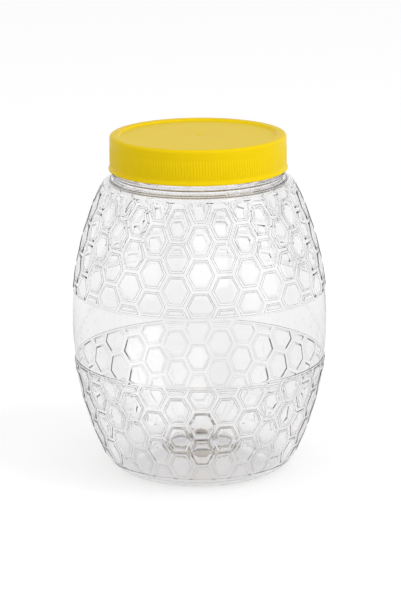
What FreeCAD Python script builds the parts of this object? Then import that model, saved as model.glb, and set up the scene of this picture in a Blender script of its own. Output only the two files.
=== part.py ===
"""Wide-mouth jar for honey, blow-moulded in clear PET, with its moulded screw lid.

The frame has +Z up, and its origin is the middle of the ring that the jar stands on. The front of
the jar faces -Y, and a column of cells is centred there.
"""
import FreeCAD, Part
import math
import os

import Sketcher

UP = FreeCAD.Vector(0, 0, 1)
FRONT = -90  # The direction of the front, -Y, in degrees round the axis from +X.
ALIGNED = 1e-4  # The largest sine of an angle between two directions that count as one.
SEAM = 1e-4  # The widest gap that sewing closes, in mm.
AT_CORNER = 0.05  # How near an edge passes to the corner that it belongs to, in mm.
OVERREACH = 1.2  # How high a cell's block stands before it is cut to the crown, in reliefs.

DIMENSIONS = {
    # The barrel: one large arc turned round the axis.
    "belly_radius": 80.6,
    "belly_height": 96,
    "barrel_arc": 200,
    "wall": 0.8,
    # The foot: a flat ring to stand on, round a pushed-up base.
    "ring_inner_radius": 43.6,
    "ring_outer_radius": 45.5,
    "base_wall": 1.1,
    "step_outer_radius": 23,
    "step_foot_height": 10.2,
    "step_inner_radius": 20.8,
    "step_top_height": 14.4,
    "nub_radius": 6.2,
    "nub_foot_height": 16.6,
    "nub_arc": 6.6,
    "nub_height": 20.8,
    "base_fillet": 1.2,
    "neck_fillet": 0.35,
    # The smooth band for a label, sunk a little into the barrel.
    "band_low": 73.1,
    "band_high": 116.5,
    "band_depth": 0.25,
    # The shoulder and the neck.
    "shoulder_height": 186.2,
    "shoulder_inner_radius": 56.5,
    "collar_radius": 55.7,
    "collar_height": 187.1,
    "collar_slope": 0.4,
    "neck_radius": 52.5,
    "mouth_radius": 50.3,
    "bead_radius": 54.2,
    "bead_height": 190.2,
    "bead_width": 2.4,
    "bead_crest": 1.0,
    "rim_height": 212.3,
    # The honeycomb: raised pads with bevelled sides, in columns that are staggered by half a cell.
    "columns": 32,
    "row_pitch": 19.25,
    "relief": 0.65,
    "channel": 2.3,
    "bevel": 1.35,
    "seat": 0.3,
    "upper_row": 171.5,
    "lower_row": 19.1,
    "comb_bottom": 9.95,
    "comb_top": 182,
    "comb_gap": 0.35,
    # The lid.
    "lid_bottom": 193,
    "lid_top": 214.7,
    "lid_radius": 55.1,
    "lid_wall": 1.15,
    "lid_corner": 2,
    "lid_flare": 0.9,
    "lid_flare_height": 2.6,
    "lid_lip": 0.8,
    "recess_radius": 48.6,
    "recess_depth": 1.2,
    "recess_slope": 0.9,
    "ribs": 192,
    "rib_width": 0.9,
    "rib_depth": 0.3,
    "rib_seat": 0.3,
    "rib_bottom": 195.8,
    "rib_top": 208.2,
    "gate_radius": 1.6,
    "gate_depth": 0.35,
}


def make_sheet(doc):
    """Puts every driving dimension in its own cell, under its own name."""
    sheet = doc.addObject("Spreadsheet::Sheet", "Dims")
    for row, (name, value) in enumerate(DIMENSIONS.items(), start=1):
        sheet.set(f"A{row}", name)
        sheet.set(f"B{row}", str(value))
        sheet.setAlias(f"B{row}", name)
    doc.recompute()
    return sheet


def origin_plane(body, role):
    """The body's own origin plane of that role."""
    return next(plane for plane in body.Origin.OriginFeatures if plane.Role == role)


def sheet_value(owner, expression):
    """The number that an expression on the sheet gives."""
    result = owner.evalExpression(expression)
    return float(getattr(result, "Value", result))


class Outline:
    """A closed outline in a sketch, drawn edge by edge, whose corners follow the sheet."""

    def __init__(self, body, name, x, z):
        self.sketch = body.newObject("Sketcher::SketchObject", name)
        self.sketch.AttachmentSupport = [(origin_plane(body, "XZ_Plane"), "")]
        self.sketch.MapMode = "FlatFace"
        self.start = (x, z)
        self.at = self.place(x, z)
        self.first = None
        self.last = None

    def place(self, x, z):
        """The point whose distance from the axis and height the sheet gives."""
        return FreeCAD.Vector(sheet_value(self.sketch, x), sheet_value(self.sketch, z), 0)

    def bind(self, constraint, expression):
        """Adds a constraint whose size follows the sheet."""
        index = self.sketch.addConstraint(constraint)
        self.sketch.setExpression(f"Constraints[{index}]", expression)

    def pin(self, geometry, point, x=None, z=None):
        """Holds a point of an edge at a distance from the axis, at a height, or at both."""
        for kind, expression, axis in (("DistanceX", x, -2), ("DistanceY", z, -1)):
            if expression is None:
                continue
            value = sheet_value(self.sketch, expression)
            if value == 0:
                self.sketch.addConstraint(Sketcher.Constraint("PointOnObject", geometry, point, axis))
            else:
                self.bind(Sketcher.Constraint(kind, -1, 1, geometry, point, value), expression)

    def follow(self, geometry, start, end):
        """Joins a new edge to the one before it."""
        if self.last is None:
            self.first = (geometry, start)
        else:
            self.sketch.addConstraint(Sketcher.Constraint("Coincident", *self.last, geometry, start))
        self.last = (geometry, end)

    def line(self, x, z):
        """A straight edge to a corner that the sheet gives."""
        corner = self.place(x, z)
        geometry = self.sketch.addGeometry(Part.LineSegment(self.at, corner), False)
        self.follow(geometry, 1, 2)
        self.pin(geometry, 2, x, z)
        self.at = corner

    def arc(self, centre, end, x=None, z=None, clockwise=False, smooth=False):
        """A round edge about a centre; smooth runs it on from the edge before without a corner."""
        circle = Part.Circle(centre, UP, (self.at - centre).Length)
        angles = [math.atan2(point.y - centre.y, point.x - centre.x) for point in (self.at, end)]
        if clockwise:
            angles.reverse()
        if angles[1] < angles[0]:
            angles[1] += 2 * math.pi
        geometry = self.sketch.addGeometry(Part.ArcOfCircle(circle, *angles), False)
        start_point, end_point = (2, 1) if clockwise else (1, 2)
        if smooth:
            self.sketch.addConstraint(Sketcher.Constraint("Tangent", *self.last, geometry, start_point))
            self.last = (geometry, end_point)
        else:
            self.follow(geometry, start_point, end_point)
        self.pin(geometry, end_point, x, z)
        self.at = end
        return geometry

    def level(self, end):
        """A level edge to a point that the next edge settles."""
        geometry = self.sketch.addGeometry(Part.LineSegment(self.at, end), False)
        self.follow(geometry, 1, 2)
        self.sketch.addConstraint(Sketcher.Constraint("Horizontal", geometry))
        self.at = end

    def radius(self, geometry, expression):
        """Gives a round edge its radius from the sheet."""
        value = sheet_value(self.sketch, expression)
        self.bind(Sketcher.Constraint("Radius", geometry, value), expression)

    def centre(self, geometry, x, z):
        """Puts the centre of a round edge where the sheet says."""
        self.pin(geometry, 3, x, z)

    def close(self):
        """A straight last edge back to the first corner."""
        geometry = self.sketch.addGeometry(Part.LineSegment(self.at, self.place(*self.start)), False)
        self.follow(geometry, 1, 2)
        self.sketch.addConstraint(Sketcher.Constraint("Coincident", *self.last, *self.first))
        self.pin(geometry, 2, *self.start)
        return self.sketch


def turn(body, name, sketch):
    """Turns an outline once round the body's own axis."""
    feature = body.newObject("PartDesign::Revolution", name)
    feature.Profile = sketch
    feature.ReferenceAxis = (sketch, ["V_Axis"])
    feature.Angle = 360
    sketch.Visibility = False
    return feature


class Barrel:
    """The large arc of the barrel and the small arcs that run on from its two ends."""

    def __init__(self, owner):
        self.arc = sheet_value(owner, "Dims.barrel_arc")
        self.height = sheet_value(owner, "Dims.belly_height")
        self.axis_offset = sheet_value(owner, "Dims.belly_radius") - self.arc

    def centre(self):
        return FreeCAD.Vector(self.axis_offset, self.height, 0)

    def tilt(self, z):
        """How far the surface leans from upright at a height."""
        return math.asin((z - self.height) / self.arc)

    def radius(self, z, lift=0):
        """The distance of the surface from the axis at a height."""
        return self.axis_offset + math.sqrt((self.arc + lift) ** 2 - (z - self.height) ** 2)

    def corner(self, x, z, depth=0):
        """The circle that touches a level line at a point and the barrel from inside: centre, end."""
        level = abs(z - self.height)
        side = 1 if z > self.height else -1
        reach = x - self.axis_offset
        arc = self.arc - depth
        radius = (arc ** 2 - level ** 2 - reach ** 2) / (2 * (arc - level))
        centre = FreeCAD.Vector(x, z - side * radius, 0)
        outward = centre - self.centre()
        outward.normalize()
        return centre, centre + outward * radius

    def point(self, z, depth=0):
        """The point of the barrel's outline at a height, at a depth in its wall."""
        return FreeCAD.Vector(self.radius(z, -depth), z, 0)


UNDERSIDE_CORNERS = [
    ("Dims.nub_radius", "Dims.nub_foot_height"),
    ("Dims.step_inner_radius", "Dims.step_top_height"),
    ("Dims.step_outer_radius", "Dims.step_foot_height"),
]
# The same corners on the inside of the base, which has its own wall.
INSIDE_CORNERS = [
    (f"{across} + Dims.base_wall / 2", f"{height} + Dims.base_wall")
    for across, height in UNDERSIDE_CORNERS
]
NECK_CORNERS = [
    ("Dims.collar_radius", "Dims.collar_height"),
    ("Dims.bead_radius", "Dims.bead_height - Dims.bead_crest / 2"),
    ("Dims.bead_radius", "Dims.bead_height + Dims.bead_crest / 2"),
    ("Dims.neck_radius", "Dims.rim_height"),
    ("Dims.mouth_radius", "Dims.rim_height"),
]


def jar_outline(body):
    """Half the jar's section: the outside from the base to the rim, then back down the inside."""
    barrel = Barrel(body)
    wall = sheet_value(body, "Dims.wall")
    band_depth = sheet_value(body, "Dims.band_depth")
    band_low = sheet_value(body, "Dims.band_low")
    band_high = sheet_value(body, "Dims.band_high")
    barrel_centre = ("Dims.belly_radius - Dims.barrel_arc", "Dims.belly_height")
    pen = Outline(body, "jar_outline", "0", "Dims.nub_height")

    def barrel_arc(end, radius, x=None, z=None, **turning):
        """An arc about the barrel's own centre."""
        geometry = pen.arc(barrel.centre(), end, x, z, **turning)
        pen.centre(geometry, *barrel_centre)
        pen.radius(geometry, radius)

    def nub_arc(x, z, centre_z, clockwise):
        """The round top of the nub, on one side of the wall."""
        geometry = pen.arc(pen.place("0", centre_z), pen.place(x, z), x, z, clockwise=clockwise)
        pen.centre(geometry, "0", None)

    # Underside of the base: the nub, the shallow cone, the step, the slope and the ring.
    nub_arc(*UNDERSIDE_CORNERS[0], "Dims.nub_height - Dims.nub_arc", True)
    for corner in UNDERSIDE_CORNERS[1:]:
        pen.line(*corner)
    pen.line("Dims.ring_inner_radius", "0")
    pen.line("Dims.ring_outer_radius", "0")

    # Outside of the barrel, with the sunk band.
    heel_centre, heel_end = barrel.corner(pen.at.x, pen.at.y)
    pen.arc(heel_centre, heel_end, smooth=True)
    barrel_arc(barrel.point(band_low), "Dims.barrel_arc", z="Dims.band_low", smooth=True)
    sunk_radius = "Dims.barrel_arc - Dims.band_depth"
    pen.level(barrel.point(band_low, band_depth))
    barrel_arc(barrel.point(band_high, band_depth), sunk_radius, z="Dims.band_high")
    pen.level(barrel.point(band_high))
    shoulder = pen.place("Dims.shoulder_inner_radius", "Dims.shoulder_height")
    shoulder_centre, shoulder_start = barrel.corner(shoulder.x, shoulder.y)
    barrel_arc(shoulder_start, "Dims.barrel_arc")
    pen.arc(shoulder_centre, shoulder, "Dims.shoulder_inner_radius", "Dims.shoulder_height", smooth=True)

    # Collar, neck and bead up to the rim.
    collar, bead_low, bead_high, rim_outer, rim_inner = NECK_CORNERS
    pen.line("Dims.collar_radius", "Dims.shoulder_height")
    pen.line(*collar)
    pen.line("Dims.neck_radius", "Dims.collar_height + Dims.collar_slope")
    pen.line("Dims.neck_radius", "Dims.bead_height - Dims.bead_width / 2")
    pen.line(*bead_low)
    pen.line(*bead_high)
    pen.line("Dims.neck_radius", "Dims.bead_height + Dims.bead_width / 2")
    pen.line(*rim_outer)
    pen.line(*rim_inner)

    # Down the inside of the neck, the shoulder and the barrel.
    pen.line("Dims.mouth_radius", "Dims.shoulder_height - Dims.wall")
    pen.line("Dims.shoulder_inner_radius", "Dims.shoulder_height - Dims.wall")
    inner_centre, inner_end = barrel.corner(pen.at.x, pen.at.y, wall)
    pen.arc(inner_centre, inner_end, clockwise=True, smooth=True)
    heel_foot = pen.place("Dims.ring_outer_radius", "Dims.base_wall")
    heel_centre, heel_start = barrel.corner(heel_foot.x, heel_foot.y, wall)
    barrel_arc(heel_start, "Dims.barrel_arc - Dims.wall", clockwise=True, smooth=True)
    pen.arc(heel_centre, heel_foot, "Dims.ring_outer_radius", "Dims.base_wall", clockwise=True, smooth=True)

    # The inside of the base, over the ring, the step and the nub.
    pen.line("Dims.ring_inner_radius", "Dims.base_wall")
    for corner in reversed(INSIDE_CORNERS):
        pen.line(*corner)
    nub_arc("0", "Dims.nub_height + Dims.base_wall", "Dims.nub_height - Dims.nub_arc", False)
    return pen.close()


def lid_outline(body):
    """Half the lid's section: the recessed top, the rim, the skirt with its flare, and the inside."""
    floor = "Dims.lid_top - Dims.recess_depth"
    pen = Outline(body, "lid_outline", "0", f"{floor} - Dims.gate_depth")
    pen.line("Dims.gate_radius - Dims.gate_depth", f"{floor} - Dims.gate_depth")
    pen.line("Dims.gate_radius", floor)
    pen.line("Dims.recess_radius", floor)
    pen.line("Dims.recess_radius + Dims.recess_slope", "Dims.lid_top")
    pen.line("Dims.lid_radius", "Dims.lid_top")
    pen.line("Dims.lid_radius", "Dims.lid_bottom + Dims.lid_flare_height")
    pen.line("Dims.lid_radius + Dims.lid_flare", "Dims.lid_bottom + Dims.lid_lip")
    pen.line("Dims.lid_radius + Dims.lid_flare", "Dims.lid_bottom")
    pen.line("Dims.lid_radius + Dims.lid_flare - Dims.lid_wall", "Dims.lid_bottom")
    pen.line("Dims.lid_radius - Dims.lid_wall", "Dims.lid_bottom + Dims.lid_flare_height")
    pen.line("Dims.lid_radius - Dims.lid_wall", "Dims.rim_height")
    pen.line("0", "Dims.rim_height")
    return pen.close()


def edges_at(shape, places):
    """The names of the round edges that pass through places given as radius and height."""
    names = []
    for number, edge in enumerate(shape.Edges, start=1):
        point = edge.valueAt(edge.FirstParameter)
        radius = math.hypot(point.x, point.y)
        for place_radius, place_height in places:
            off = math.hypot(radius - place_radius, point.z - place_height)
            if off < AT_CORNER and isinstance(edge.Curve, Part.Circle):
                names.append(f"Edge{number}")
    return names


class Comb:
    """The honeycomb relief: where each raised cell sits, and its solid."""

    def __init__(self, owner):
        self.barrel = Barrel(owner)
        self.columns = round(sheet_value(owner, "Dims.columns"))
        self.column_angle = 360 / self.columns
        self.pitch = sheet_value(owner, "Dims.row_pitch")
        self.half_channel = sheet_value(owner, "Dims.channel / 2")
        self.bevel = sheet_value(owner, "Dims.bevel")
        self.relief = sheet_value(owner, "Dims.relief")
        self.seat = sheet_value(owner, "Dims.seat")
        self.wall = sheet_value(owner, "Dims.wall")

    def skin(self, low, high):
        """A thin turned layer of the barrel between two heights, with bevelled ends."""
        barrel = self.barrel
        spread = self.bevel / self.relief

        def on_wall(z, lift):
            return FreeCAD.Vector(barrel.radius(z, lift), 0, z)

        def side(start, end, lift):
            middle = on_wall((start + end) / 2, lift)
            return Part.Arc(on_wall(start, lift), middle, on_wall(end, lift)).toShape()

        low_foot = low - spread * self.seat
        high_foot = high + spread * self.seat
        inner = side(low_foot, high_foot, -self.seat)
        outer = side(low + self.bevel, high - self.bevel, self.relief)
        ends = [
            Part.makeLine(on_wall(low_foot, -self.seat), on_wall(low + self.bevel, self.relief)),
            Part.makeLine(on_wall(high - self.bevel, self.relief), on_wall(high_foot, -self.seat)),
        ]
        face = Part.Face(Part.Wire([inner, ends[1], outer, ends[0]]))
        face.rotate(FreeCAD.Vector(), UP, -self.column_angle)
        return face.revolve(FreeCAD.Vector(), UP, 2 * self.column_angle)

    def corners(self, z, inset, lift):
        """The six corners of a cell centred at a height, inset from its share of the lattice."""
        barrel = self.barrel
        tilt = barrel.tilt(z)
        centre_radius = barrel.radius(z)
        half_width = 4 / 3 * math.pi / self.columns * centre_radius
        half_height = self.pitch / 2 / math.cos(tilt)
        slant = math.hypot(half_width / 2, half_height)
        tip = half_width - inset * slant / half_height
        top = half_height - inset
        shoulder = tip - half_width / 2 * top / half_height
        points = []
        for across, along in ((tip, 0), (shoulder, top), (-shoulder, top),
                              (-tip, 0), (-shoulder, -top), (shoulder, -top)):
            lean = tilt + along / barrel.arc
            radius = barrel.axis_offset + (barrel.arc + lift) * math.cos(lean)
            turn_angle = across / centre_radius
            points.append(FreeCAD.Vector(
                radius * math.cos(turn_angle),
                radius * math.sin(turn_angle),
                barrel.height + (barrel.arc + lift) * math.sin(lean)))
        return points

    def cell(self, z, skin):
        """One raised cell on the +X side: a tapered six-sided block, cut to the skin."""
        foot = self.corners(z, self.half_channel, 0)
        crown = self.corners(z, self.half_channel + self.bevel, self.relief)
        tilt = self.barrel.tilt(z)
        outward = FreeCAD.Vector(math.cos(tilt), 0, math.sin(tilt))
        centre = FreeCAD.Vector(self.barrel.radius(z), 0, z)

        def section(height):
            """The block's outline where it is cut square at a height over the wall."""
            points = []
            for low, high in zip(foot, crown):
                rise = high - low
                share = (height - (low - centre).dot(outward)) / rise.dot(outward)
                points.append(low + rise * share)
            return Part.makePolygon(points + points[:1])

        block = Part.makeLoft([section(-self.wall), section(OVERREACH * self.relief)], True, True)
        return block.common(skin)

    def heights(self, row, low, high):
        """The heights of a column's cells, a pitch apart, that show between two heights.

        A cell shows if it is cut so that it still has a crown between its two bevels.
        """
        reach = self.pitch / 2 - self.half_channel - 2 * self.bevel
        first = math.ceil((low - reach - row) / self.pitch)
        last = math.floor((high + reach - row) / self.pitch)
        return [row + self.pitch * number for number in range(first, last + 1)]


def comb_sector(owner):
    """The raised cells of the sector of two half columns and one whole column at the front."""
    comb = Comb(owner)
    fields = (
        ("Dims.band_high + Dims.comb_gap", "Dims.comb_top", "Dims.upper_row"),
        ("Dims.comb_bottom", "Dims.band_low - Dims.comb_gap", "Dims.lower_row"),
    )
    cells = []
    for field in fields:
        low, high, row = (sheet_value(owner, text) for text in field)
        skin = comb.skin(low, high)
        for z in comb.heights(row + comb.pitch / 2, low, high):
            cells.append(about_axis(comb.cell(z, skin), FRONT))
        for z in comb.heights(row, low, high):
            cell = comb.cell(z, skin)
            for side in (-comb.column_angle, comb.column_angle):
                cells.append(about_axis(cell, FRONT + side))
    return cells


def about_axis(shape, angle):
    """A copy of a shape, turned about the jar's axis by an angle in degrees."""
    return shape.rotated(FreeCAD.Vector(), UP, angle)


def is_cut(face):
    """Whether a face lies in a plane through the axis, where a sector was cut out."""
    if not isinstance(face.Surface, Part.Plane):
        return False
    normal = face.normalAt(0, 0)
    middle = face.CenterOfMass
    sideways = FreeCAD.Vector(middle.x, middle.y, 0).normalize()
    return abs(normal.z) < ALIGNED and abs(normal.dot(sideways)) < ALIGNED


def full_turn(sector, count):
    """Sews copies of a sector, without its cut faces, into one closed solid."""
    skin = Part.makeCompound([face for face in sector.Faces if not is_cut(face)])
    ring = Part.makeCompound([about_axis(skin, 360 / count * number) for number in range(count)])
    ring.sewShape(SEAM)
    return Part.Solid(ring).removeSplitter()


def soften(owner, shape, radius, corners):
    """Rounds the circular edges at corners given as the names of their radius and height."""
    places = [(sheet_value(owner, across), sheet_value(owner, height)) for across, height in corners]
    edges = [shape.getElement(name) for name in edges_at(shape, places)]
    return shape.makeFillet(sheet_value(owner, radius), edges).Solids[0]


def make_jar(doc):
    """The jar: the turned shell, with the honeycomb raised on one sector of it, all round."""
    shell = doc.addObject("PartDesign::Body", "shell")
    turn(shell, "shell_turned", jar_outline(shell))
    doc.recompute()
    sectors = round(sheet_value(shell, "Dims.columns / 2"))
    angle = 360 / sectors
    past_belly = 2 * sheet_value(shell, "Dims.belly_radius")
    past_rim = sheet_value(shell, "Dims.rim_height + 1")
    wedge = Part.makeCylinder(past_belly, past_rim + 1, FreeCAD.Vector(0, 0, -1), UP, angle)
    wedge = about_axis(wedge, FRONT - angle / 2)
    cells = [cell.common(wedge) for cell in comb_sector(shell)]
    sector = shell.Shape.common(wedge).fuse(cells).removeSplitter()
    whole = full_turn(sector, sectors)
    whole = soften(shell, whole, "Dims.base_fillet", UNDERSIDE_CORNERS + INSIDE_CORNERS)
    whole = soften(shell, whole, "Dims.neck_fillet", NECK_CORNERS)
    jar = doc.addObject("Part::Feature", "jar")
    jar.Shape = whole
    return jar


def rib_outline(body):
    """The section of one fine rib: a ridge whose foot is sunk into the skirt."""
    sketch = body.newObject("Sketcher::SketchObject", "rib_outline")
    sketch.AttachmentSupport = [(origin_plane(body, "XY_Plane"), "")]
    sketch.MapMode = "FlatFace"
    sketch.setExpression("AttachmentOffset.Base.z", "Dims.rib_bottom")
    foot = "Dims.lid_radius - Dims.rib_seat"
    crest = "Dims.lid_radius + Dims.rib_depth"
    half_width = "Dims.rib_width / 2"
    foot_x, crest_x, side_y = (sheet_value(sketch, text) for text in (foot, crest, half_width))
    corners = [
        FreeCAD.Vector(foot_x, -side_y, 0),
        FreeCAD.Vector(crest_x, 0, 0),
        FreeCAD.Vector(foot_x, side_y, 0),
    ]
    for number, corner in enumerate(corners):
        sketch.addGeometry(Part.LineSegment(corner, corners[(number + 1) % 3]), False)
    for number in range(3):
        sketch.addConstraint(Sketcher.Constraint("Coincident", number, 2, (number + 1) % 3, 1))
    sketch.addConstraint(Sketcher.Constraint("PointOnObject", 0, 2, -1))
    sketch.addConstraint(Sketcher.Constraint("Symmetric", 0, 1, 1, 2, -1))
    for kind, edge, value, text in (
        ("DistanceX", 0, crest_x, crest),
        ("DistanceX", 1, foot_x, foot),
        ("DistanceY", 1, side_y, half_width),
    ):
        index = sketch.addConstraint(Sketcher.Constraint(kind, -1, 1, edge, 2, value))
        sketch.setExpression(f"Constraints[{index}]", text)
    return sketch


def make_lid(doc):
    """The screw lid: turned, its rim rounded, with fine ribs all round the skirt."""
    body = doc.addObject("PartDesign::Body", "lid")
    turned = turn(body, "lid_turned", lid_outline(body))
    doc.recompute()
    rim = (sheet_value(body, "Dims.lid_radius"), sheet_value(body, "Dims.lid_top"))
    corner = body.newObject("PartDesign::Fillet", "lid_corner")
    corner.Base = (turned, edges_at(turned.Shape, [rim]))
    corner.setExpression("Radius", "Dims.lid_corner")
    section = rib_outline(body)
    rib = body.newObject("PartDesign::Pad", "rib")
    rib.Profile = section
    rib.setExpression("Length", "Dims.rib_top - Dims.rib_bottom")
    ribs = body.newObject("PartDesign::PolarPattern", "ribs")
    ribs.Originals = [rib]
    ribs.Axis = (section, ["N_Axis"])
    ribs.Angle = 360
    ribs.setExpression("Occurrences", "Dims.ribs")
    body.Tip = ribs
    return body


def check(doc, parts):
    """Stops before anything is written if a feature or a piece has failed."""
    for item in doc.Objects:
        if "Invalid" in item.State or "Error" in item.State:
            raise SystemExit(f"{item.Name} failed: {item.State}")
    for part in parts:
        if part.Shape.isNull() or not part.Shape.isValid() or len(part.Shape.Solids) != 1:
            raise SystemExit(f"{part.Label} is not one valid solid")


def main():
    doc = FreeCAD.newDocument("honey_jar")
    make_sheet(doc)
    parts = [make_jar(doc), make_lid(doc)]
    doc.recompute()
    check(doc, parts)
    os.makedirs("parts", exist_ok=True)
    for part in parts:
        part.Placement = FreeCAD.Placement()
        part.Shape.exportStep(f"parts/{part.Label}.step")
        print(part.Label, round(part.Shape.Volume), "cubic mm,", len(part.Shape.Faces), "faces")


main()
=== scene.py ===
"""A wide clear honey jar with a honeycomb wall, empty, under its yellow screw lid."""

import math
from collections import Counter

import bpy
from mathutils import Matrix, Vector


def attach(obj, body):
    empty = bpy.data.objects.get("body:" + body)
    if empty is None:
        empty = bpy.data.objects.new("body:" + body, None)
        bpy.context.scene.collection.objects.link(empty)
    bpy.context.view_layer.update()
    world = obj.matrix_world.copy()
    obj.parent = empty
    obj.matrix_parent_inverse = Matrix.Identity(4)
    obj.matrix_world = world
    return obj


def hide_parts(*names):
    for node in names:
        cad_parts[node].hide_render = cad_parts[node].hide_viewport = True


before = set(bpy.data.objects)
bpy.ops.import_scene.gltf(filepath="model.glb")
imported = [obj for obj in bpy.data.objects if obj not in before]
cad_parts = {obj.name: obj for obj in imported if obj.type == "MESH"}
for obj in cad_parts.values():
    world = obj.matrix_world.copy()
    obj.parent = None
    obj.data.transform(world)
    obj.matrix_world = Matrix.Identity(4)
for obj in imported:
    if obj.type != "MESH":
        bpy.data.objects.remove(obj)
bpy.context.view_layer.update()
bpy.ops.object.select_all(action="DESELECT")


# --- Camera ---------------------------------------------------------------------------------
# A long portrait lens at one and a half metres, a little above the lid and looking slightly
# down on it, so that the disc of the lid shows as a narrow ellipse.

CAMERA_PLACE = Vector((-0.0198, -1.4679, 0.4981))
CAMERA_AIM = Vector((0, 0, 0.1075))
CAMERA_ROLL = math.radians(-0.5)

bpy.ops.object.camera_add(location=CAMERA_PLACE)
camera = bpy.context.object
camera.name = "camera"
facing = (CAMERA_AIM - CAMERA_PLACE).to_track_quat("-Z", "Y").to_matrix().to_4x4()
camera.matrix_world = Matrix.Translation(CAMERA_PLACE) @ facing @ Matrix.Rotation(CAMERA_ROLL, 4, "Z")
camera.data.lens = 143.8
camera.data.shift_x = 0.0019
camera.data.shift_y = -0.0008
camera.data.clip_end = 40
bpy.context.scene.camera = camera


# --- Honeycomb wall of the jar --------------------------------------------------------------
# The jar is one blow-moulded shell of clear PET. The mould's cells leave raised, flat-topped
# hexagons over the whole bulging wall, in 32 columns, with a plain band left for a label.

mm = 0.001
CLOSE = 0.001 * mm
BELLY_RADIUS = 80.6 * mm
BELLY_HEIGHT = 96 * mm
WALL_ARC = 200 * mm
BAND_LOW = 73.3 * mm
BAND_HIGH = 116.3 * mm
BAND_DEPTH = 0.3 * mm
COMB_LOW = 8.8 * mm
COMB_HIGH = 183.15 * mm
ROW_PITCH = 19.25 * mm
LOWER_ROW = -0.15 * mm
UPPER_ROW = 113.75 * mm
LID_FOOT = 193 * mm
COLUMNS = 32
ROWS = 9
COLUMN = math.tau / COLUMNS
HALF_CELL = COLUMN * 2 / 3
SIDE_CUTS = 3
WALL = 0.75
RUN_OUT = 3 * mm
INNER_CIRCLE = 0.85
CROWN_SPLIT = 0.4
CREASE = 0.14
CREASE_RISE = 0.04

# Each step goes in from the outline and up. Outside they are the foot of the bevel, its crease,
# the bevel, the crease of the crown and the flat beyond it. The inside follows in softer steps.
OUTER_STEPS = [(1.05, 0), (CREASE, CREASE_RISE), (1.05, 0.46), (CREASE, CREASE_RISE), (0.2, 0)]
INNER_STEPS = [(1.0, 0), (1.45, 0.33)]


def linear(hex_colour):
    """An sRGB hex colour as the linear values that a shader wants."""
    parts = [int(hex_colour[i:i + 2], 16) / 255 for i in (1, 3, 5)]
    return (*[c / 12.92 if c <= 0.04045 else ((c + 0.055) / 1.055) ** 2.4 for c in parts], 1)


def add(tree, kind, links=(), **settings):
    """Adds one node: settings name its options and sockets, links are (socket, from node, from socket)."""
    node = tree.nodes.new(kind)
    for name, value in settings.items():
        socket = node.inputs.get(name.replace("_", " "))
        if socket is None:
            setattr(node, name, value)
        else:
            socket.default_value = value
    for socket, source, output in links:
        tree.links.new(source.outputs[output], node.inputs[socket])
    return node


def new_material(name):
    material = bpy.data.materials.new(name)
    material.use_nodes = True
    material.node_tree.nodes.clear()
    return material, material.node_tree


def clear_plastic(name, tint, roughness):
    """PET: glass-clear, with a grey too faint to see in one wall and the long waves of a blown one."""
    material, tree = new_material(name)
    place = add(tree, "ShaderNodeTexCoord")
    waves = add(
        tree, "ShaderNodeTexNoise", [("Vector", place, "Object")], Scale=45, Detail=1.5, Roughness=0.45)
    ripple = add(tree, "ShaderNodeBump", [("Height", waves, "Fac")], Strength=0.05, Distance=0.0012)
    shell = add(
        tree, "ShaderNodeBsdfPrincipled", [("Normal", ripple, "Normal")], Base_Color=linear(tint), IOR=1.575,
        Roughness=roughness, Transmission_Weight=1.0)
    haze = add(tree, "ShaderNodeVolumeAbsorption", Density=55, Color=linear("#d8cfd5"))
    add(tree, "ShaderNodeOutputMaterial", [("Surface", shell, "BSDF"), ("Volume", haze, "Volume")])
    return material


# The wall has a mirror gloss off the polished mould. The creases round the cells take a rougher copy of it
# tinted grey, which is painted shade that draws each crease as a fine grey line. The dome in the middle of
# the base and the ring of its step take a copy tinted a dull brownish grey, which is painted shade for the
# dark the thick base shows there.
CLEAR, CREASE_PAINTED_SHADE, GATE_PAINTED_SHADE = range(3)
PET = [
    clear_plastic("clear_PET", "#ffffff", 0.015), clear_plastic("clear_PET_crease_painted_shade", "#e1e1e3", 0.2),
    clear_plastic("clear_PET_gate_painted_shade", "#d6d0c5", 0.1)]


def wall_point(angle, height, lift):
    """The place over the bulging wall, from the angle round it, the height and the lift off it."""
    rise = math.asin((height - BELLY_HEIGHT) / WALL_ARC)
    arc = WALL_ARC + lift
    radius = BELLY_RADIUS - WALL_ARC + arc * math.cos(rise)
    return Vector((radius * math.sin(angle), -radius * math.cos(angle), BELLY_HEIGHT + arc * math.sin(rise)))


def select_open_edges(test):
    """In edit mode, selects the open edges whose two ends both pass the test."""
    bpy.ops.mesh.select_mode(type="EDGE")
    bpy.ops.mesh.select_all(action="DESELECT")
    bpy.ops.object.mode_set(mode="OBJECT")
    mesh = bpy.context.object.data
    faces_on = Counter(loop.edge_index for loop in mesh.loops)
    passed = [test(vertex.co) for vertex in mesh.vertices]
    for edge in mesh.edges:
        edge.select = faces_on[edge.index] == 1 and all(passed[end] for end in edge.vertices)
    bpy.ops.object.mode_set(mode="EDIT")


def rounded(place):
    """A place as a key that equal corners share."""
    return tuple(round(part, 6) for part in place)


def chosen_corners():
    """The places of the corners of the face that is selected in edit mode."""
    bpy.ops.object.mode_set(mode="OBJECT")
    mesh = bpy.context.object.data
    chosen = {rounded(mesh.vertices[i].co) for face in mesh.polygons if face.select for i in face.vertices}
    bpy.ops.object.mode_set(mode="EDIT")
    return chosen


def give(index):
    """In edit mode, gives the selected faces one of the three PET materials, two of which are tinted with
    painted shade.
    """
    bpy.context.object.active_material_index = index
    bpy.ops.object.material_slot_assign()


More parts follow.
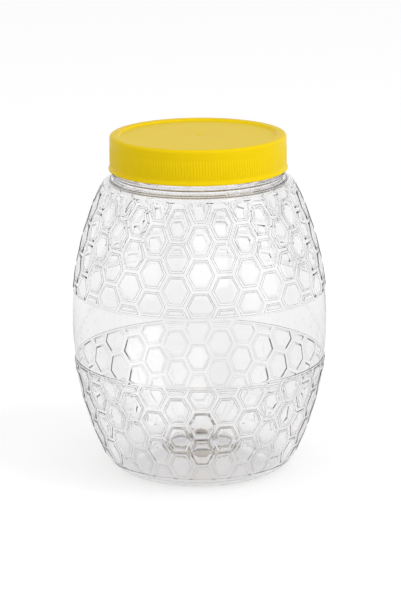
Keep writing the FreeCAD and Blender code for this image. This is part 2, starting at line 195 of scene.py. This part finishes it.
def cell_ring(height, low, high, odd, steps, level):
    """Every second cell at one height. One is made flat, with the step insets, then wrapped and copied."""
    slope = math.sqrt(1 - ((height - BELLY_HEIGHT) / WALL_ARC) ** 2)
    radius = BELLY_RADIUS - WALL_ARC + WALL_ARC * slope
    bpy.ops.mesh.primitive_circle_add(vertices=6, radius=1, fill_type="NGON")
    bpy.ops.object.mode_set(mode="EDIT")
    bpy.ops.mesh.select_all(action="SELECT")
    half_height = ROW_PITCH / 2 / slope
    bpy.ops.transform.resize(value=(half_height / math.cos(math.pi / 6), HALF_CELL * radius, 1))
    for cut, side in ((low, 1), (high, -1)):
        if abs(cut - height) < ROW_PITCH / 2 - 10 * CLOSE:
            bpy.ops.mesh.select_all(action="SELECT")
            bpy.ops.mesh.bisect(
                plane_co=((cut - height) / slope, 0, 0), plane_no=(side, 0, 0), clear_inner=True,
                threshold=CLOSE)
    bpy.ops.mesh.select_mode(type="FACE")
    bpy.ops.mesh.select_all(action="SELECT")
    for material in PET:
        bpy.context.object.data.materials.append(material)
    outlines = [chosen_corners()]
    for inset, lift in steps:
        # The crease strips take the grey copy of the PET, which is painted shade.
        give(CREASE_PAINTED_SHADE if inset == CREASE else CLEAR)
        bpy.ops.mesh.inset(thickness=inset * mm, depth=lift * mm, use_individual=True)
        outlines.append(chosen_corners())
    give(CLEAR)
    bpy.ops.mesh.poke()
    bpy.ops.mesh.select_mode(type="EDGE")
    bpy.ops.mesh.select_all(action="DESELECT")
    bpy.ops.object.mode_set(mode="OBJECT")
    # Only the edges along the outlines are divided, which the wall's curve needs.
    mesh = bpy.context.object.data
    for edge in mesh.edges:
        ends = {rounded(mesh.vertices[end].co) for end in edge.vertices}
        edge.select = any(ends <= outline for outline in outlines)
    bpy.ops.object.mode_set(mode="EDIT")
    bpy.ops.mesh.subdivide(number_cuts=SIDE_CUTS)
    bpy.ops.object.mode_set(mode="OBJECT")
    ring = bpy.context.object
    start = COLUMN if odd else 0
    for vertex in ring.data.vertices:
        flat = vertex.co.copy()
        up = height + flat.x * slope
        # The relief fades out towards the heel and the shoulder.
        fade = max(0, min(1, (up - COMB_LOW) / RUN_OUT, (COMB_HIGH - up) / RUN_OUT))
        vertex.co = wall_point(start - flat.y / radius, up, flat.z * fade + level)
    bpy.ops.object.mode_set(mode="EDIT")
    bpy.ops.mesh.select_all(action="SELECT")
    copies = COLUMNS // 2 - 1
    bpy.ops.mesh.spin(
        steps=copies, dupli=True, angle=2 * COLUMN * copies, center=(0, 0, 0), axis=(0, 0, 1))
    bpy.ops.object.mode_set(mode="OBJECT")
    return ring


def honeycomb(name, raised, level):
    """All the rings of cells above and below the label band, merged into one open skin."""
    rings = []
    for first_row, field_low, field_high in ((LOWER_ROW, 0, BAND_LOW), (UPPER_ROW, BAND_HIGH, LID_FOOT)):
        for number in range(ROWS):
            height = first_row + ROW_PITCH / 2 * number
            low = max(height - ROW_PITCH / 2, field_low)
            high = min(height + ROW_PITCH / 2, field_high)
            plain = height < COMB_LOW or height > COMB_HIGH
            side_reach = INNER_CIRCLE * HALF_CELL * -wall_point(0, height, 0).y
            crown = min((high - low) / 2, side_reach) / mm - sum(inset for inset, lift in raised)
            # A crown over 1 mm across is split by one more inset, so that it bends with the wall.
            steps = raised + [(crown * CROWN_SPLIT, 0)] if crown > 1 else raised
            rings.append(cell_ring(height, low, high, number % 2 == 0, [] if plain else steps, level * mm))
    bpy.ops.object.select_all(action="DESELECT")
    for ring in rings:
        ring.select_set(True)
    bpy.context.view_layer.objects.active = rings[0]
    bpy.ops.object.join()
    skin = bpy.context.object
    skin.name = name
    bpy.ops.object.mode_set(mode="EDIT")
    bpy.ops.mesh.select_all(action="SELECT")
    bpy.ops.mesh.remove_doubles(threshold=20 * CLOSE)
    for cut, side in ((COMB_LOW, -1), (COMB_HIGH, 1)):
        bpy.ops.mesh.select_all(action="SELECT")
        bpy.ops.mesh.bisect(
            plane_co=(0, 0, cut), plane_no=(0, 0, side), clear_outer=True, threshold=CLOSE)
    bpy.ops.object.mode_set(mode="OBJECT")
    return skin


outer = honeycomb("jar_outside", OUTER_STEPS, 0)
inner = honeycomb("jar_inside", INNER_STEPS, -WALL)


# --- Band, shoulder, neck, heel and base of the jar -----------------------------------------
# The same shell goes on smooth: across the label band, in over a tight shoulder to the collar and
# the bead of the neck, and down round the heel to the ring it stands on and a pushed-up base.


def level_with(height):
    """A test for places at one height."""
    return lambda point: abs(point.z - height) < 20 * CLOSE


def follow(places):
    """Extrudes the selected ring, which lies at the first place, through the rest of them in turn."""
    for (radius, height), (next_radius, next_height) in zip(places, places[1:]):
        bpy.ops.mesh.extrude_edges_indiv()
        scale = next_radius / radius
        bpy.ops.transform.resize(value=(scale, scale, 1), center_override=(0, 0, 0))
        bpy.ops.transform.translate(value=(0, 0, next_height - height))


def turned(places, sides):
    """An open skin of rings through places given as radius and height."""
    bpy.ops.mesh.primitive_circle_add(vertices=sides, radius=places[0][0], location=(0, 0, places[0][1]))
    bpy.ops.object.transform_apply(location=True)
    bpy.ops.object.mode_set(mode="EDIT")
    bpy.ops.mesh.select_all(action="SELECT")
    follow(places)
    bpy.ops.object.mode_set(mode="OBJECT")
    bpy.context.object.data.materials.append(PET[CLEAR])
    return bpy.context.object


def joined(first, *others):
    """Makes one object of several and goes on with it in edit mode."""
    bpy.ops.object.select_all(action="DESELECT")
    for piece in (first, *others):
        piece.select_set(True)
    bpy.context.view_layer.objects.active = first
    bpy.ops.object.join()
    bpy.ops.object.mode_set(mode="EDIT")


def bridge(*heights):
    """Joins the open rings at two heights."""
    select_open_edges(lambda point: any(level_with(height)(point) for height in heights))
    bpy.ops.mesh.bridge_edge_loops()


def arc(centre_radius, centre_height, radius, start, end, count):
    """Places along a round corner, from one angle above the level to another."""
    turns = [math.radians(start + (end - start) * i / count) for i in range(count + 1)]
    return [(centre_radius + radius * math.cos(t), centre_height + radius * math.sin(t)) for t in turns]


def scaled(places):
    """Places given in millimetres, as metres."""
    return [(radius * mm, height * mm) for radius, height in places]


def band_places(level, depth):
    """Across the label band, which is sunk below the wall by a small step at each edge."""
    step = [(0, 0), (0.06, 0.1), (0.28, 0.9), (0.34, 1), (1.2, 1)]
    rings = 12
    places = [(BAND_LOW + rise * mm, sunk) for rise, sunk in step]
    places += [(BAND_LOW + (BAND_HIGH - BAND_LOW) * i / rings, 1) for i in range(1, rings)]
    places += [(BAND_HIGH - rise * mm, sunk) for rise, sunk in reversed(step)]
    points = [wall_point(0, height, level * mm - sunk * depth) for height, sunk in places[:-1]]
    return [(-point.y, point.z) for point in points]


outside_top = [
    (60.35, 183.6), *arc(56.5, 182.0, 4.2, 15, 90, 6)[1:], (56.1, 186.2), (55.75, 186.25), (55.7, 186.4),
    (55.7, 187.0), (55.5, 187.15), (53.0, 187.45), (52.5, 187.7), (52.5, 188.6), (52.65, 188.95),
    (54.0, 189.6), (54.2, 189.8), (54.2, 190.6), (54.0, 190.8), (52.65, 191.25), (52.5, 191.6),
    (52.5, 202.0), (52.5, 211.7), (52.3, 212.15), (51.9, 212.28), (50.7, 212.3)]
inside_top = [
    (59.5, 183.2), *arc(56.5, 182.0, 3.4, 20, 90, 5)[1:], (55.1, 185.45), (54.75, 185.7), (54.6, 186.1),
    (54.2, 186.35), (52.2, 186.6), (51.6, 186.9), (51.3, 187.5), (51.3, 188.8), (51.0, 190.2), (50.4, 191.6),
    (50.3, 193.0), (50.3, 200.0), (50.3, 211.8), (50.4, 212.1)]
underside = [
    *arc(45.5, 17.27, 17.27, -32, -90, 9), (44.9, 0.0), (44.0, 0.05), (43.5, 0.25), (42.6, 0.55), (33.0, 5.3),
    (24.0, 9.75), (22.9, 10.4), (22.5, 11.2), (21.2, 13.6), (20.6, 14.3), (19.6, 14.65),
    (12.0, 15.8), (6.9, 16.5), (6.2, 16.7), (5.8, 17.4), (4.9, 18.65), (3.4, 19.85), (1.8, 20.6), (0.6, 20.8)]
inside_base = [
    *arc(45.5, 17.27, 16.4, -31, -90, 9), (44.8, 0.95), (43.9, 1.15), (42.9, 1.6), (33.4, 6.3),
    (24.5, 10.75), (23.6, 11.3), (23.1, 12.0), (21.9, 14.4), (21.2, 15.2), (20.0, 15.7),
    (12.0, 16.95), (7.8, 17.6), (7.1, 17.95), (6.6, 18.6), (5.5, 19.9), (3.8, 21.0), (2.0, 21.75),
    (0.6, 21.95)]

TURNED_SIDES = 128
DOME_RADIUS = 6.5
STEP_RADII = 20.8, 23

for skin, level, depth, top, base in (
        (outer, 0, BAND_DEPTH, outside_top, underside), (inner, -WALL, 0, inside_top, inside_base)):
    top, base, band = scaled(top), scaled(base), band_places(level, depth)
    foot = turned(base, TURNED_SIDES)
    for material in PET[1:]:
        foot.data.materials.append(material)
    # The dome and the ring of the step round it take the brownish grey copy of the PET, which is painted
    # shade.
    for face in foot.data.polygons:
        out = math.hypot(face.center.x, face.center.y) / mm
        face.material_index = GATE_PAINTED_SHADE if out < DOME_RADIUS or STEP_RADII[0] < out < STEP_RADII[1] else CLEAR
    joined(skin, turned(top, TURNED_SIDES), foot)
    bridge(COMB_HIGH, top[0][1])
    bridge(COMB_LOW, base[0][1])
    select_open_edges(level_with(band[0][1]))
    follow(band)
    bridge(band[-1][1], wall_point(0, BAND_HIGH, level * mm).z)
    select_open_edges(lambda point: level_with(base[-1][1])(point) and math.hypot(point.x, point.y) < 1 * mm)
    bpy.ops.mesh.edge_face_add()
    bpy.ops.mesh.poke()
    bpy.ops.object.mode_set(mode="OBJECT")

joined(outer, inner)
bridge(outside_top[-1][1] * mm, inside_top[-1][1] * mm)
bpy.ops.mesh.select_all(action="SELECT")
bpy.ops.mesh.normals_make_consistent(inside=False)
bpy.ops.mesh.faces_shade_smooth()
bpy.ops.object.mode_set(mode="OBJECT")
bpy.ops.object.modifier_add(type="WEIGHTED_NORMAL")
bpy.ops.object.modifier_apply(modifier=bpy.context.object.modifiers[0].name)
jar = outer
jar.name = "jar_shell"


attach(jar, "root")
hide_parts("jar")


# --- Screw lid ------------------------------------------------------------------------------
# The lid is injection-moulded yellow PP: a shallow recessed disc with the gate mark at its
# centre, a rounded rim, and a skirt of fine grip ribs that flares at its foot. It is screwed on.

RIBS = 192
RIB_SIDES = 4
RIB_LOW = 196.4
RIB_HIGH = 207.8
SKIRT_RADIUS = 55.1
lid_section = scaled([
    (0.5, 213.15), (1.1, 213.15), (1.35, 213.25), (1.6, 213.48), (1.9, 213.5), (20, 213.5), (40, 213.5),
    (47.9, 213.5), (48.4, 213.56), (48.7, 213.8), (49.1, 214.4), (49.4, 214.62), (49.8, 214.7), (51.5, 214.7),
    *arc(53.1, 212.7, 2.0, 90, 0, 6), (SKIRT_RADIUS, 209.5), (SKIRT_RADIUS, 208.4),
    (SKIRT_RADIUS, RIB_HIGH), (SKIRT_RADIUS, 202.0), (SKIRT_RADIUS, RIB_LOW), (SKIRT_RADIUS, 195.8),
    (55.14, 195.5), (55.5, 194.7), (55.85, 194.1), (55.98, 193.8), (56.0, 193.4), (55.95, 193.1),
    (55.8, 193.0), (54.95, 193.0), (54.85, 193.1), (54.5, 194.4), (53.95, 195.6), (53.95, 204.0),
    (53.95, 212.0), (53.65, 212.3), (30, 212.3), (0.5, 212.3)])

lid = turned(lid_section, RIBS * RIB_SIDES)
lid.name = "lid_shell"
joined(lid)
for end in (lid_section[0][1], lid_section[-1][1]):
    select_open_edges(lambda point: level_with(end)(point) and math.hypot(point.x, point.y) < 0.6 * mm)
    bpy.ops.mesh.edge_face_add()
bpy.ops.mesh.select_all(action="SELECT")
bpy.ops.mesh.normals_make_consistent(inside=False)
bpy.ops.object.mode_set(mode="OBJECT")

# Half of each rib's faces, out on the skirt, are raised by one inset.
bpy.ops.object.mode_set(mode="EDIT")
bpy.ops.mesh.select_mode(type="FACE")
bpy.ops.mesh.select_all(action="DESELECT")
bpy.ops.object.mode_set(mode="OBJECT")
for face in lid.data.polygons:
    centre = face.center / mm
    turn = math.atan2(centre.x, -centre.y) % math.tau
    on_skirt = RIB_LOW < centre.z < RIB_HIGH and math.hypot(centre.x, centre.y) > SKIRT_RADIUS - 0.3
    face.select = on_skirt and int(turn / math.tau * RIBS * RIB_SIDES) % RIB_SIDES < RIB_SIDES / 2
bpy.ops.object.mode_set(mode="EDIT")
bpy.ops.mesh.inset(thickness=0.2 * mm, depth=0.1 * mm)
bpy.ops.mesh.select_all(action="SELECT")
bpy.ops.mesh.faces_shade_smooth()
bpy.ops.object.mode_set(mode="OBJECT")
bpy.ops.object.shade_smooth_by_angle(angle=math.radians(50))

# Polypropylene coloured in the mass: a warm yellow that lets a little light into it, a soft
# satin gloss off the mould, a grain of about half a millimetre and a slight cloudiness.
pp, tree = new_material("yellow_PP")
place = add(tree, "ShaderNodeTexCoord")
grain = add(tree, "ShaderNodeTexNoise", [("Vector", place, "Object")], Scale=1800, Detail=2)
skin_bump = add(tree, "ShaderNodeBump", [("Height", grain, "Fac")], Strength=0.12, Distance=0.0001)
cloud = add(tree, "ShaderNodeTexNoise", [("Vector", place, "Object")], Scale=40, Detail=2)
tone = add(tree, "ShaderNodeMix", [("Factor", cloud, "Fac")], data_type="RGBA")
tone.inputs["A"].default_value = linear("#f6d500")
tone.inputs["B"].default_value = linear("#f3cf00")
plastic = add(
    tree, "ShaderNodeBsdfPrincipled", [("Normal", skin_bump, "Normal"), ("Base Color", tone, "Result")],
    IOR=1.49, Roughness=0.36, Specular_IOR_Level=0.1, Subsurface_Weight=0.15, Subsurface_Scale=0.002,
    Subsurface_Radius=(1.0, 0.7, 0.1))
add(tree, "ShaderNodeOutputMaterial", [("Surface", plastic, "BSDF")])
lid.data.materials.clear()
lid.data.materials.append(pp)
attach(lid, "root")
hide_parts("lid")


# --- Studio ---------------------------------------------------------------------------------
# A white floor and a room that goes from white at the level of the table to grey overhead. Soft
# boxes stand at the right, the left and the front, and a small one hangs above for sparkle.


def pale(value):
    """A neutral colour, from its linear value."""
    return (value, value, value, 1)


def greys(tree, source, output, *stops):
    """A ramp through greys, each given with its place."""
    node = add(tree, "ShaderNodeValToRGB", [("Fac", source, output)])
    elements = node.color_ramp.elements
    elements[0].position, elements[0].color = stops[0][0], pale(stops[0][1])
    elements[1].position, elements[1].color = stops[-1][0], pale(stops[-1][1])
    for position, value in stops[1:-1]:
        elements.new(position).color = pale(value)
    return node


bpy.ops.mesh.primitive_grid_add(x_subdivisions=4, y_subdivisions=4, size=12)
floor = bpy.context.object
floor.name = "floor"

# Matt white paper. The camera sees it white. Seen in or through the jar its glow dims in a ring round
# the jar's foot, which is painted shade, and its matt part takes the jar's real shadow.
paper, tree = new_material("white_paper")
path = add(tree, "ShaderNodeLightPath")
place = add(tree, "ShaderNodeTexCoord")
distance = add(tree, "ShaderNodeVectorMath", [("Vector", place, "Object")], operation="LENGTH")
# Painted shade: the glow that reflections and refractions see dims in a ring round the jar's foot.
painted_floor_shade = greys(
    tree, distance, "Value", (0.08, 0.95), (0.2, 0.76), (0.4, 0.77), (0.62, 0.95), (0.9, 1))
mirrored = add(
    tree, "ShaderNodeMath", [(0, path, "Is Glossy Ray"), (1, path, "Is Transmission Ray")],
    operation="ADD", use_clamp=True)
through = add(tree, "ShaderNodeMath", [(0, mirrored, 0), (1, painted_floor_shade, "Color")], operation="MULTIPLY")
seen = add(
    tree, "ShaderNodeMath", [(0, through, 0), (1, path, "Is Camera Ray")], operation="ADD", use_clamp=True)
matt = add(tree, "ShaderNodeBsdfDiffuse", Color=pale(0.5))
glow = add(tree, "ShaderNodeEmission", [("Strength", seen, 0)], Color=pale(0.63))
both = add(tree, "ShaderNodeAddShader", [(0, matt, 0), (1, glow, 0)])
add(tree, "ShaderNodeOutputMaterial", [("Surface", both, 0)])
floor.data.materials.append(paper)

world = bpy.data.worlds.new("studio")
bpy.context.scene.world = world
world.use_nodes = True
tree = world.node_tree
tree.nodes.clear()
way = add(tree, "ShaderNodeTexCoord")
up = add(tree, "ShaderNodeSeparateXYZ", [("Vector", way, "Generated")])
sky = greys(tree, up, "Z", (0.18, 1), (0.36, 0.52), (0.6, 0.5), (0.92, 0.75))
room = add(tree, "ShaderNodeBackground", [("Color", sky, "Color")], Strength=1)
plain = add(tree, "ShaderNodeBackground", Color=pale(1), Strength=1)
path = add(tree, "ShaderNodeLightPath")
choice = add(tree, "ShaderNodeMixShader", [("Fac", path, "Is Camera Ray"), (1, room, 0), (2, plain, 0)])
add(tree, "ShaderNodeOutputWorld", [("Surface", choice, 0)])


LAMP_AIM = Vector((0, 0, 0.12))


def soft_box(name, place, width, height, power):
    """A rectangular lamp that faces the jar."""
    bpy.ops.object.light_add(type="AREA", location=place)
    lamp = bpy.context.object
    lamp.name = name
    lamp.rotation_euler = (LAMP_AIM - Vector(place)).to_track_quat("-Z", "Y").to_euler()
    lamp.data.shape = "RECTANGLE"
    lamp.data.size, lamp.data.size_y = width, height
    lamp.data.energy = power
    return lamp


# The right-hand box would leave a broad white patch on the wall, so it has no reflection.
soft_box("box_right", (1.6, -1.0, 0.7), 1.6, 1.6, 15).visible_glossy = False
soft_box("box_top", (0.9, -0.6, 2.1), 0.3, 0.3, 4)
soft_box("box_left", (-1.6, -0.9, 0.9), 1.6, 1.6, 4)
soft_box("box_front", (0.3, -2.2, 0.9), 1.5, 1.0, 5)

bpy.context.scene.view_settings.view_transform = "Standard"
